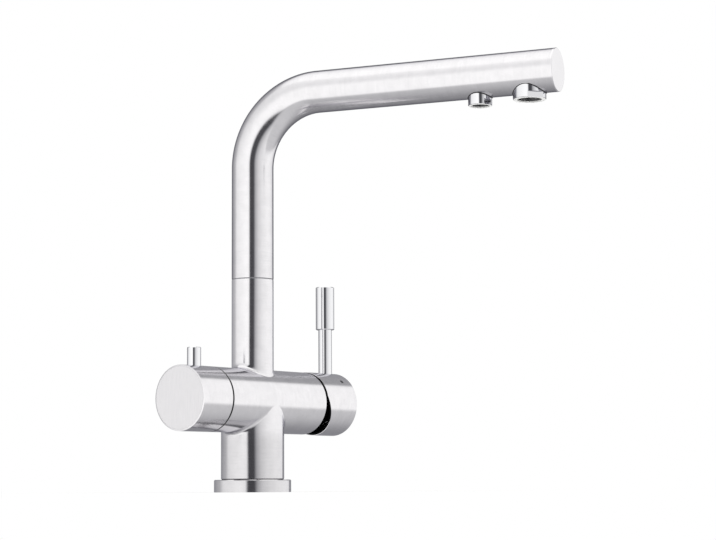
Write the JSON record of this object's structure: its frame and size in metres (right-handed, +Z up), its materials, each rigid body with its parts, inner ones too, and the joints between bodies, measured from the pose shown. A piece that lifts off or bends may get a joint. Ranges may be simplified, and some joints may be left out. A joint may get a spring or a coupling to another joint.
{
  "type": "drinking water filter tap",
  "caption": "Deck-mounted kitchen mixer tap with a side lever, a separate filter water knob, a swivel spout and its own small outlet for drinking water.",
  "frame": {"origin": "where the column's axis meets the worktop, at the mouth of the fixing stud's hole", "axes": "+X along the barrel to the mixer handle, -Y towards the user, +Z up"},
  "size_m": [0.1696, 0.2545, 0.2987],
  "materials": {
    "brushed_steel": "brushed stainless steel, satin",
    "polished_steel": "polished, mirror-like",
    "machined_brass": "turned and milled, bare",
    "zinc_screw": "zinc-plated steel",
    "black_plastic": "moulded, matt black",
    "white_plastic": "moulded, low-friction white",
    "cartridge_plastic": "moulded, pale grey",
    "ceramic": "lapped alumina ceramic",
    "seal_rubber": "moulded EPDM rubber",
    "dark_plug": "small glossy dark plug"
  },
  "bodies": {
    "root": {"base_flange": "brushed_steel", "base_gasket": "seal_rubber", "column_seal": "seal_rubber", "knob_glide_ring": "black_plastic", "valve_body": "brushed_steel", "hose_manifold": "machined_brass", "manifold_seals": "seal_rubber", "manifold_screws": "zinc_screw", "cartridge_case": "cartridge_plastic", "cartridge_seals": "seal_rubber", "fixed_ceramic_disc": "ceramic", "cartridge_nut": "machined_brass", "cartridge_cover": "black_plastic", "filter_headpart": "machined_brass", "headpart_seal": "seal_rubber", "filter_fixed_disc": "ceramic", "slip_ring": "black_plastic", "spout_lock_screw": "zinc_screw", "filter_feed_nipple": "machined_brass", "nipple_o_ring": "seal_rubber"},
    "mixer_rotor": {"cartridge_rotor": "cartridge_plastic"},
    "moving_disc": {"moving_ceramic_disc": "ceramic", "disc_carrier": "white_plastic"},
    "mixer_handle": {"lever_stem": "machined_brass", "stem_pin": "zinc_screw", "handle_shell": "brushed_steel", "handle_grub_screw": "zinc_screw", "index_plug": "dark_plug", "lever_rod": "polished_steel", "lever_grip": "polished_steel"},
    "filter_knob": {"knob_shell": "brushed_steel", "knob_face_cap": "brushed_steel", "knob_screw": "zinc_screw", "knob_pin": "polished_steel", "filter_spindle": "machined_brass", "filter_moving_disc": "ceramic", "spindle_o_ring": "seal_rubber", "spindle_clip": "zinc_screw"},
    "spout": {"spout_tube": "brushed_steel", "spout_tail": "machined_brass", "tail_slide_rings": "white_plastic", "tail_o_rings": "seal_rubber", "spout_end_cap": "brushed_steel", "main_outlet_housing": "polished_steel", "aerator_insert": "black_plastic", "aerator_strainer": "cartridge_plastic", "aerator_gasket": "seal_rubber", "filter_outlet_nozzle": "polished_steel", "filter_outlet_insert": "black_plastic", "filter_water_tube": "white_plastic"}
  },
  "joints": [
    {"name": "mixer_temperature", "type": "hinge", "parent": "root", "child": "mixer_rotor", "pos_m": [0.0458, 0, 0.0644], "axis": [1, 0, 0], "range_deg": [-45, 45]},
    {"name": "lever_tilt", "type": "hinge", "parent": "mixer_rotor", "child": "mixer_handle", "pos_m": [0.0458, 0, 0.0644], "axis": [0, 1, 0], "range_deg": [0, 20]},
    {"name": "disc_slide", "type": "slide", "parent": "mixer_rotor", "child": "moving_disc", "axis": [0, 0, 1], "range_m": [0, 0.00257]},
    {"name": "filter_turn", "type": "hinge", "parent": "root", "child": "filter_knob", "pos_m": [-0.0622, 0, 0.0644], "axis": [1, 0, 0], "range_deg": [0, 90]},
    {"name": "spout_swivel", "type": "hinge", "parent": "root", "child": "spout", "pos_m": [0, 0, 0.1507], "axis": [0, 0, 1], "range_deg": [-89, 61]}
  ],
  "couplings": [
    {"joint": "disc_slide", "follows": "lever_tilt", "m_per_rad": 0.00735}
  ]
}
